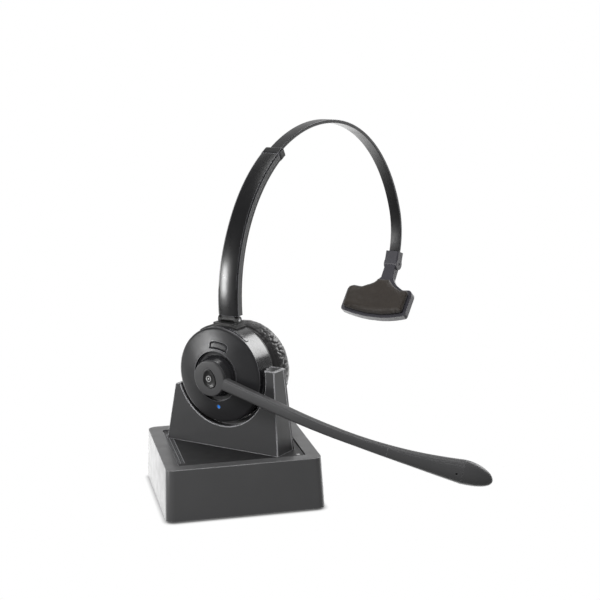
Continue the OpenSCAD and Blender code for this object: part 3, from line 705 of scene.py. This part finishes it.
def inflate(obj, voxel_mm, shrink_mm, pressure, cap_mm, pinned):
    """Remeshes a closed solid and swells it as cloth. pinned(point) holds a point still."""
    bm = bmesh.new()
    bm.from_mesh(obj.data)
    bmesh.ops.remove_doubles(bm, verts=bm.verts, dist=0.001 * MM)
    bm.normal_update()
    for v in bm.verts:
        v.co -= v.normal * shrink_mm * MM
    bmesh.ops.scale(bm, vec=(SIM_SCALE,) * 3, verts=bm.verts)
    bm.to_mesh(obj.data)
    bm.free()
    remesh = obj.modifiers.new("remesh", "REMESH")
    remesh.mode = "VOXEL"
    remesh.voxel_size = voxel_mm * MM * SIM_SCALE
    apply_modifiers(obj)
    rest = [v.co.copy() for v in obj.data.vertices]
    held = obj.vertex_groups.new(name="held")
    held.add([i for i, p in enumerate(rest) if pinned(p / (SIM_SCALE * MM))], 1.0, "REPLACE")
    cloth = obj.modifiers.new("cloth", "CLOTH")
    cloth.settings.use_pressure = True
    cloth.settings.uniform_pressure_force = pressure
    cloth.settings.vertex_group_mass = "held"
    cloth.settings.effector_weights.gravity = 0
    cloth.point_cache.frame_start = 1
    cloth.point_cache.frame_end = 20
    for step in range(1, 21):
        bpy.context.scene.frame_set(step)
    apply_modifiers(obj)
    bpy.context.scene.frame_set(1)
    cap = cap_mm * MM * SIM_SCALE
    for v, start in zip(obj.data.vertices, rest):
        move = v.co - start
        if move.length > cap:
            move *= cap / move.length
        v.co = (start + move) / SIM_SCALE
    smooth = obj.modifiers.new("smooth", "CORRECTIVE_SMOOTH")
    smooth.iterations = 4
    smooth.use_only_smooth = True
    fine = obj.modifiers.new("fine", "SUBSURF")
    fine.levels = 1
    apply_modifiers(obj)


def soft_copy(node, name):
    obj = bpy.data.objects.new(name, frame["nodes"][node].data.copy())
    bpy.context.scene.collection.objects.link(obj)
    return obj


def crease(value, sharpness):
    """Turns smooth noise into narrow valleys."""
    return (1 - min(1.0, abs(value) * sharpness)) ** 2


def build_ear_cushion():
    """Leatherette ring that is gathered along its outer edge and sewn at both sides."""
    obj = soft_copy("ear_cushion", "ear_cushion_soft")
    low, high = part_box("ear_cushion")
    back_y = low.y / MM
    front_y = high.y / MM
    inner_r = 10.5
    sag_x = (high.x + low.x) / 2 / MM
    sag_z = (high.z + low.z) / 2 / MM
    mid_r = ((high.x - low.x) / 2 / MM + inner_r) / 2
    inflate(obj, 1.1, 0.55, 4.0, 0.9, lambda p: p.y < back_y + 0.9)
    obj.data.update()
    normals = [v.normal.copy() for v in obj.data.vertices]
    for v, normal in zip(obj.data.vertices, normals):
        x = v.co.x / MM - sag_x
        y = v.co.y / MM
        z = v.co.z / MM - sag_z
        r = math.hypot(x, z)
        a = math.atan2(x, z)
        depth = (y - back_y) / (front_y - back_y)
        outer = max(0.0, min(1.0, (r - mid_r) / 6))
        gather = noise.noise(Vector((math.cos(a) * 9, math.sin(a) * 9, y * 0.16)))
        fine = noise.noise(Vector((math.cos(a) * 17, math.sin(a) * 17, y * 0.3 + 7)))
        folds = crease(gather, 4) * 0.55 + crease(fine, 4) * 0.3
        band = math.exp(-((depth - 0.42) / 0.33) ** 2)
        seam = math.exp(-((y - back_y - 2.2) / 0.35) ** 2) * outer * 0.45
        v.co -= normal * (folds * outer * band + seam) * MM
    dress(obj, "cushion_leather", "cup", ["ear_cushion"], 60)


def temple_local(point):
    """Point in the temple pad's own frame, in millimetres."""
    turn = Matrix.Rotation(math.radians(TEMPLE_TILT), 3, "X")
    return turn @ (Vector(point) - Vector(TEMPLE_POS))


def temple_depth(point):
    """Depth of a point behind the pad's curved face."""
    p = temple_local(point)
    return p.y + p.x ** 2 / (2 * TEMPLE_ARCH_R)


def build_temple_pad():
    """T-shaped leatherette pad, flat where it rests on its holder."""
    obj = soft_copy("temple_pad", "temple_pad_soft")
    inflate(obj, 0.8, 0.35, 4.0, 0.7, lambda p: temple_depth(p) > PAD_BACK_Y)
    obj.data.update()
    normals = [v.normal.copy() for v in obj.data.vertices]
    for v, normal in zip(obj.data.vertices, normals):
        p = temple_local(v.co / MM)
        ripple = noise.noise(Vector((p.x * 0.22, p.z * 0.3, 3.0)))
        v.co += normal * ripple * 0.12 * MM
    dress(obj, "pad_leather", "temple", ["temple_pad"], 60)


def build_temple_bar():
    """Pad, its holder, the collar at the band's end and the pin between them."""
    build_temple_pad()
    thicken_holder(softened("temple_holder", 0.4))
    softened("collar", 0.3)
    resized(softened("temple_pin", 0.1), (0.86, 1.0, 1.0))


def thicken_holder(holder):
    """Gives the bar a fuller back than its neck has."""
    outward = Matrix.Rotation(math.radians(-TEMPLE_TILT), 3, "X") @ Vector((0, 1, 0))
    for v in holder.data.vertices:
        point = v.co / MM
        share = max(0.0, min(1.0, (HOLDER_NECK_Z - temple_local(point).z) / 4))
        if temple_depth(point) > HOLDER_MID_Y:
            v.co += outward * HOLDER_FILL * share * MM


# ---------- headband ----------

def arc_centres():
    centres = [Vector(ARC_START)]
    for i in range(3):
        a = math.radians(ARC_END[i])
        step = (ARC_R[i] - ARC_R[i + 1]) * Vector((-math.cos(a), math.sin(a)))
        centres.append(centres[-1] + step)
    return centres


def band_ring(i, a_deg, section):
    """Section of (outwards, sideways) points on arc i at an angle."""
    a = math.radians(a_deg)
    centre = arc_centres()[i]
    out = Vector((0, -math.cos(a), math.sin(a)))
    base = Vector((0, centre.x, centre.y)) + out * ARC_R[i]
    return [base + out * u + Vector((v, 0, 0)) for u, v in section]


def angles(a0, a1, step):
    count = max(2, round((a1 - a0) / step))
    return [a0 + (a1 - a0) * k / count for k in range(count + 1)]


def sleeve_shape(a):
    """Half width, outer and inner thickness of the sleeve, which slims down towards its top."""
    rise = max(0.0, min(1.0, (a - SLEEVE_A0) / 36))
    rise = rise * rise * (3 - 2 * rise)
    return 6.35 - 0.6 * rise, 2.4 - 0.65 * rise, 2.4 + 0.6 * rise


def sleeve_section(a):
    """Outer shell of the sleeve: a crowned face, chamfered sides and a channel for the band."""
    w, t, _ = sleeve_shape(a)
    bevel = 0.8
    crown = 0.3 + 0.5 * (w - 5.75)
    face = [(t - 0.65, -w), (t - 0.1, -w + bevel)]
    for k in range(1, 12):
        v = (w - bevel) * (k / 6 - 1)
        face.append((t - 0.1 + crown * (1 - (v / (w - bevel)) ** 2), v))
    face += [(t - 0.1, w - bevel), (t - 0.65, w)]
    channel = [(-SLOT_HALF_T, w), (-SLOT_HALF_T, CHANNEL_HALF_W), (SLOT_HALF_T, CHANNEL_HALF_W),
        (SLOT_HALF_T, -CHANNEL_HALF_W), (-SLOT_HALF_T, -CHANNEL_HALF_W), (-SLOT_HALF_T, -w)]
    return face + channel


def liner_section(a):
    w, _, t = sleeve_shape(a)
    return [(-SLOT_HALF_T - 0.04, w), (-SLOT_HALF_T - 0.04, -w), (-t + 0.5, -w), (-t, -w + 0.5),
        (-t, w - 0.5), (-t + 0.5, w)]


def cap_section(a, inset):
    w, t_out, t_in = sleeve_shape(a)
    w += 0.12 - inset
    t_out += 0.12 - inset
    t_in += 0.25 - inset
    return [(t_out, -w + 0.8), (t_out, w - 0.8), (t_out - 0.65, w), (-t_in + 0.5, w), (-t_in, w - 0.5),
        (-t_in, -w + 0.5), (-t_in + 0.5, -w), (t_out - 0.65, -w)]


def arc_rings(a0, a1, step, section_at):
    return [band_ring(0, a, section_at(a)) for a in angles(a0, a1, step)]


def build_sleeve():
    shell = arc_rings(SLEEVE_A0, CAP_A0 - 0.1, 1.0, sleeve_section)
    piece("sleeve_shell", shell, "gloss_sleeve", "arm", ["arm_shell"], sharp=24)
    liner = piece("sleeve_liner", arc_rings(SLEEVE_A0, CAP_A0 - 0.1, 1.0, liner_section),
        "trim_plastic", "arm", ["arm_liner"], sharp=24)
    cut(liner, screw_hole())
    build_end_cap()
    softened("arm_yoke", 0.2)


def build_end_cap():
    soft_a = 0.25
    rings = [band_ring(0, CAP_A0, cap_section(CAP_A0, 0.15))]
    rings += arc_rings(CAP_A0 + soft_a, CAP_A1 - 2 * soft_a, 1.0, lambda a: cap_section(a, 0.0))
    rings.append(band_ring(0, CAP_A1, cap_section(CAP_A1, 0.4)))
    cap = piece("sleeve_cap", rings, "cap_plastic", "arm", ["end_cap"], sharp=24)
    slot = [(SLOT_HALF_T, -BAND_HALF_W - 0.06), (SLOT_HALF_T, BAND_HALF_W + 0.06),
        (-SLOT_HALF_T, BAND_HALF_W + 0.06), (-SLOT_HALF_T, -BAND_HALF_W - 0.06)]
    cut(cap, loft("cap_slot", arc_rings(CAP_A0 - 2, CAP_A1 + 2, 1.0, lambda a: slot)))


def screw_hole():
    """Counterbore over the sleeve's screw."""
    bpy.ops.mesh.primitive_cylinder_add(vertices=32, radius=1.7 * MM, depth=3 * MM,
        location=[c * MM for c in SCREW_AT], rotation=(math.pi / 2, 0, 0))
    return bpy.context.object


def build_band():
    section = fillet([(-BAND_HALF_T, -BAND_HALF_W), (BAND_HALF_T, -BAND_HALF_W),
        (BAND_HALF_T, BAND_HALF_W), (-BAND_HALF_T, BAND_HALF_W)], [0.4] * 4)
    rings = []
    start = TAIL_A0
    for i, end in enumerate(ARC_END):
        for a in angles(start, end, 1.2)[:-1]:
            rings.append(band_ring(i, a, section))
        start = end
    rings.append(band_ring(3, ARC_END[3], section))
    piece("headband_spring", rings, "band_coating", "band", ["spring_band"])


# ---------- boom ----------

def boom_point(s, across, up):
    """Point beside the boom's centreline at distance s from the hub's axis."""
    bend = max(0.0, s - BOOM_STRAIGHT) / BOOM_CURVE_R
    x = min(s, BOOM_STRAIGHT) + BOOM_CURVE_R * math.sin(bend)
    y = BOOM_Y + BOOM_CURVE_R * (1 - math.cos(bend))
    normal = Vector((-math.sin(bend), math.cos(bend), 0))
    local = Vector((x, y, 0)) + normal * across + Vector((0, 0, up))
    return Matrix.Rotation(math.radians(BOOM_DROOP), 3, "Y") @ local + Vector((0, 0, EAR_Z))


def smooth_between(stations, s):
    """Smooth value at s from a list of (s, value) stations."""
    for (s0, v0), (s1, v1) in zip(stations, stations[1:]):
        if s <= s1:
            t = max(0.0, (s - s0) / (s1 - s0))
            t = t * t * (3 - 2 * t)
            return v0 + (v1 - v0) * t
    return stations[-1][1]


# Height, depth and squareness as (place, value) stations, and what the swell adds at the pod's end.
BOOM_HEIGHT = [(0, 6.3), (30, 5.9), (70, 5.4)]
BOOM_DEPTH = [(0, 4.4)]
BOOM_SWELL_S = 84.0
BOOM_SWELL = (7.1, 5.0)
BOOM_SWELL_POWER = 1.85
BOOM_SQUARE = [(0, 6.0), (30, 5.0), (90, 3.0), (122, 2.2), (141, 2.1)]


def boom_ring(s, size=1.0, drop=0.0, points=40):
    """Super-ellipse across the boom: nearly rectangular at the hub, oval at the microphone."""
    swell = max(0.0, (min(s, POD_S1) - BOOM_SWELL_S) / (POD_S1 - BOOM_SWELL_S)) ** BOOM_SWELL_POWER
    half_h = (smooth_between(BOOM_HEIGHT, s) + BOOM_SWELL[0] * swell) / 2 * size
    half_d = (smooth_between(BOOM_DEPTH, s) + BOOM_SWELL[1] * swell) / 2 * size
    power = 2 / smooth_between(BOOM_SQUARE, s)
    ring = []
    for k in range(points):
        a = 2 * math.pi * k / points
        c = math.cos(a)
        n = math.sin(a)
        across = half_d * math.copysign(abs(c) ** power, c)
        up = half_h * math.copysign(abs(n) ** power, n)
        ring.append(boom_point(s, across, up - drop))
    return ring


def build_boom():
    root_s = 5.0
    rod = [boom_ring(root_s + (POD_S0 - 0.05 - root_s) * k / 60) for k in range(61)]
    piece("boom_rod", rod, "boom_plastic", "boom", ["boom_arm"], sharp=50)
    disc = fillet([(0.02, HUB_FRONT_Y), (HUB_FACE_R, HUB_FRONT_Y), (HUB_FACE_R, HUB_MID_Y - 0.02),
        (0.02, HUB_MID_Y - 0.02)], [0, 0.55, 0.15, 0])
    cap = lathe("hub_cap", disc, "boom_plastic", "boom", ["boom_arm"], segments=96)
    cut(cap, loft("pocket", [egg_ring(0.15, HUB_FRONT_Y - 1), egg_ring(0.15, HUB_FRONT_Y + 1.7)]))
    pod = [boom_ring(POD_S0 + (POD_S1 - 0.12 - POD_S0) * k / 44) for k in range(45)]
    shell = piece("mic_pod", pod, "boom_plastic", "boom", ["mic_housing"], sharp=50)
    cut(shell, mic_hole())
    # Near-black disc in the microphone's hole: the mesh behind it, and painted shade for the hole's dark
    # inside.
    piece("mic_mesh_shade_disc", [mic_ring(0.5), mic_ring(1.0)], "trim_plastic", "boom", [])
    nose = []
    for k in range(19):
        u = math.sin(math.pi / 2 * k / 18)
        s = POD_S1 + (BOOM_LEN - POD_S1) * u
        nose.append(boom_ring(s, max(0.02, math.cos(math.pi / 2 * k / 18)), NOSE_DROP * u * u))
    piece("mic_nose", nose, "boom_plastic", "boom", ["mic_tip"], sharp=50)
    hub = fillet([(0.02, HUB_MID_Y), (HUB_FACE_R + 0.1, HUB_MID_Y), (HUB_R - 0.4, RECESS_Y - 1.6),
        (HUB_R, RECESS_Y - 0.9), (HUB_R, RECESS_Y - 0.1), (3.05, RECESS_Y - 0.1), (3.05, -13.6),
        (0.02, -13.6)], [0, 0.4, 0.5, 0.3, 0.1, 0, 0, 0])
    lathe("hub_collar", hub, "gloss_shell", "boom", ["hub_base"], segments=112)


def mic_ring(depth, points=24):
    """Round of the dark disc in the microphone's hole, standing for the mesh and for the hole's painted
    shade; depth below the pod's surface.
    """
    turns = [2 * math.pi * k / points for k in range(points)]
    radius = 0.58
    return [boom_point(MIC_HOLE_S + radius * math.cos(a), depth - MIC_HOLE_Y, radius * math.sin(a))
        for a in turns]


def mic_hole():
    """Hole in front of the microphone's mesh."""
    centre = boom_point(MIC_HOLE_S, -MIC_HOLE_Y, 0)
    bpy.ops.mesh.primitive_cone_add(vertices=24, radius1=0.62 * MM, radius2=0.6 * MM, depth=3 * MM,
        location=[c * MM for c in centre], rotation=(math.pi / 2, 0, 0))
    return bpy.context.object


def egg_outline(grow, points=48):
    """Egg with its narrow end up: a round whose radius shrinks upwards."""
    outline = []
    for k in range(points):
        a = 2 * math.pi * k / points
        x = math.sin(a)
        z = math.cos(a)
        wide = 1 - 0.22 * z
        outline.append((0.25 + (4.0 * x * wide - 0.5 * z) + grow * x, 0.1 + 5.0 * z + grow * z))
    return outline


def egg_ring(grow, y):
    return [(x, y, EAR_Z + z) for x, z in egg_outline(grow)]


def build_mute_button():
    """Dished egg-shaped button with a plain raised ring and pip."""
    face = HUB_FRONT_Y - 0.45
    rings = [egg_ring(-0.02, -17.3), egg_ring(-0.02, face + 0.25), egg_ring(-0.12, face + 0.06),
        egg_ring(-0.35, face), egg_ring(-0.7, face), egg_ring(-0.95, face + 0.2),
        egg_ring(-2.2, face + 0.3), egg_ring(-3.2, face + 0.32)]
    piece("mute_key", rings, "button_plastic", "mute_button", ["mute_button"], sharp=40)
    dish = face + 0.3
    ring_profile = fillet([(1.15, dish + 0.1), (1.15, dish - 0.22), (1.6, dish - 0.22), (1.6, dish + 0.1)],
        [0, 0.1, 0.1, 0])
    lathe("mute_ring", ring_profile, "clear_lens", "mute_button", [], segments=48)
    pip = fillet([(0.01, dish - 0.26), (0.5, dish - 0.2), (0.55, dish + 0.1), (0.01, dish + 0.1)],
        [0, 0.12, 0, 0])
    lathe("mute_pip", pip, "clear_lens", "mute_button", [], segments=32)


# ---------- studio ----------

def area_light(name, place, aim, size, power):
    data = bpy.data.lights.new(name, "AREA")
    data.shape = "RECTANGLE"
    data.size = size[0]
    data.size_y = size[1]
    data.energy = power
    obj = bpy.data.objects.new(name, data)
    obj.location = place
    obj.rotation_euler = (Vector(aim) - Vector(place)).to_track_quat("-Z", "Y").to_euler()
    bpy.context.scene.collection.objects.link(obj)
    return obj


FORWARD = Vector((-0.53275, 0.82076, -0.20625)).normalized()
WORLD_BACK = 0.95
FLOOR_BACK = 3.0
WORLD_FRONT = 0.10
FLOOR_FRONT = 0.24


def back_light(tree, direction, front_level, back_level):
    """Bright behind the object, dim on the camera's side, like a lit paper backdrop."""
    dot = tree.nodes.new("ShaderNodeVectorMath")
    dot.operation = "DOT_PRODUCT"
    dot.inputs[1].default_value = FORWARD
    tree.links.new(direction, dot.inputs[0])
    level = tree.nodes.new("ShaderNodeMapRange")
    level.interpolation_type = "SMOOTHSTEP"
    level.inputs["From Min"].default_value = 0.25
    level.inputs["From Max"].default_value = 0.8
    level.inputs["To Min"].default_value = front_level
    level.inputs["To Max"].default_value = back_level
    tree.links.new(dot.outputs["Value"], level.inputs["Value"])
    return level.outputs["Result"]


def camera_white(tree, level):
    """Full white for the camera, level for every other ray."""
    path = tree.nodes.new("ShaderNodeLightPath")
    mix = tree.nodes.new("ShaderNodeMix")
    mix.inputs[3].default_value = 1.0
    tree.links.new(path.outputs["Is Camera Ray"], mix.inputs[0])
    tree.links.new(level, mix.inputs[2])
    return mix.outputs[0]


def studio_floor():
    """Paper sweep: white to the camera apart from a thin contact shadow."""
    material = bpy.data.materials.new("studio_floor")
    material.use_nodes = True
    tree = material.node_tree
    glow = tree.nodes.new("ShaderNodeEmission")
    contact = tree.nodes.new("ShaderNodeAmbientOcclusion")
    contact.inputs["Distance"].default_value = 2.5 * MM
    tree.links.new(contact.outputs["Color"], glow.inputs["Color"])
    away = tree.nodes.new("ShaderNodeVectorMath")
    away.operation = "SCALE"
    away.inputs["Scale"].default_value = -1.0
    tree.links.new(tree.nodes.new("ShaderNodeNewGeometry").outputs["Incoming"], away.inputs[0])
    level = camera_white(tree, back_light(tree, away.outputs["Vector"], FLOOR_FRONT, FLOOR_BACK))
    tree.links.new(level, glow.inputs["Strength"])
    tree.links.new(glow.outputs["Emission"], tree.nodes["Material Output"].inputs["Surface"])
    mesh = bpy.data.meshes.new("studio_floor")
    far = 6.0
    mesh.from_pydata([(-far, -far, 0), (far, -far, 0), (far, far, 0), (-far, far, 0)], [], [(0, 1, 2, 3)])
    mesh.materials.append(material)
    floor = bpy.data.objects.new("studio_floor", mesh)
    bpy.context.scene.collection.objects.link(floor)


def build_studio():
    studio_floor()
    world = bpy.data.worlds.new("studio")
    world.use_nodes = True
    bpy.context.scene.world = world
    tree = world.node_tree
    direction = tree.nodes.new("ShaderNodeTexCoord").outputs["Generated"]
    level = camera_white(tree, back_light(tree, direction, WORLD_FRONT, WORLD_BACK))
    tree.links.new(level, tree.nodes["Background"].inputs["Strength"])
    tree.nodes["Background"].inputs["Color"].default_value = (1, 1, 1, 1)

    area_light("key_left", (-0.86, -0.91, 0.2), (0, 0, 0.09), (0.28, 0.4), 7)
    area_light("top_soft", (-0.1, 0.0, 1.1), (0, 0.02, 0.08), (0.6, 0.5), 4)
    area_light("rim_back", (0.35, 0.95, 0.62), (0, 0, 0.07), (0.6, 0.5), 6)
    front = area_light("front_soft", (0.45, -0.95, 1.0), (0, 0, 0.05), (0.6, 0.6), 25)
    front.visible_glossy = False


def build_camera():
    """The viewing angle: from the boom's side, a little above the cup."""
    yaw = 0.5754
    roll = -0.023
    right = Vector((math.cos(yaw), math.sin(yaw), 0))
    up = right.cross(FORWARD)
    side = math.cos(roll) * right + math.sin(roll) * up
    head = -math.sin(roll) * right + math.cos(roll) * up
    data = bpy.data.cameras.new("camera")
    data.lens = 90.8
    data.sensor_width = 36
    camera = bpy.data.objects.new("camera", data)
    axes = Matrix((side, head, -FORWARD)).transposed().to_4x4()
    camera.matrix_world = Matrix.Translation((0.44988, -0.62395, 0.26531)) @ axes
    bpy.context.scene.collection.objects.link(camera)
    bpy.context.scene.camera = camera


# ---------- build ----------

looks = build_looks()
slot_of = {part["node"]: part["material_slot"] for part in frame["record"]["subparts"]}
body_of = {node: body for body, nodes in frame["record"]["behaviour"]["bodies"].items() for node in nodes}
for node, obj in frame["nodes"].items():
    obj.data.materials.clear()
    obj.data.materials.append(looks[slot_of[node]])

build_dock()
build_cup()
build_speaker_cloth()
build_ear_cushion()
build_sleeve()
build_band()
build_temple_bar()
build_boom()
build_mute_button()
build_studio()
build_camera()
bpy.context.scene.view_settings.view_transform = "Standard"

bpy.context.view_layer.update()
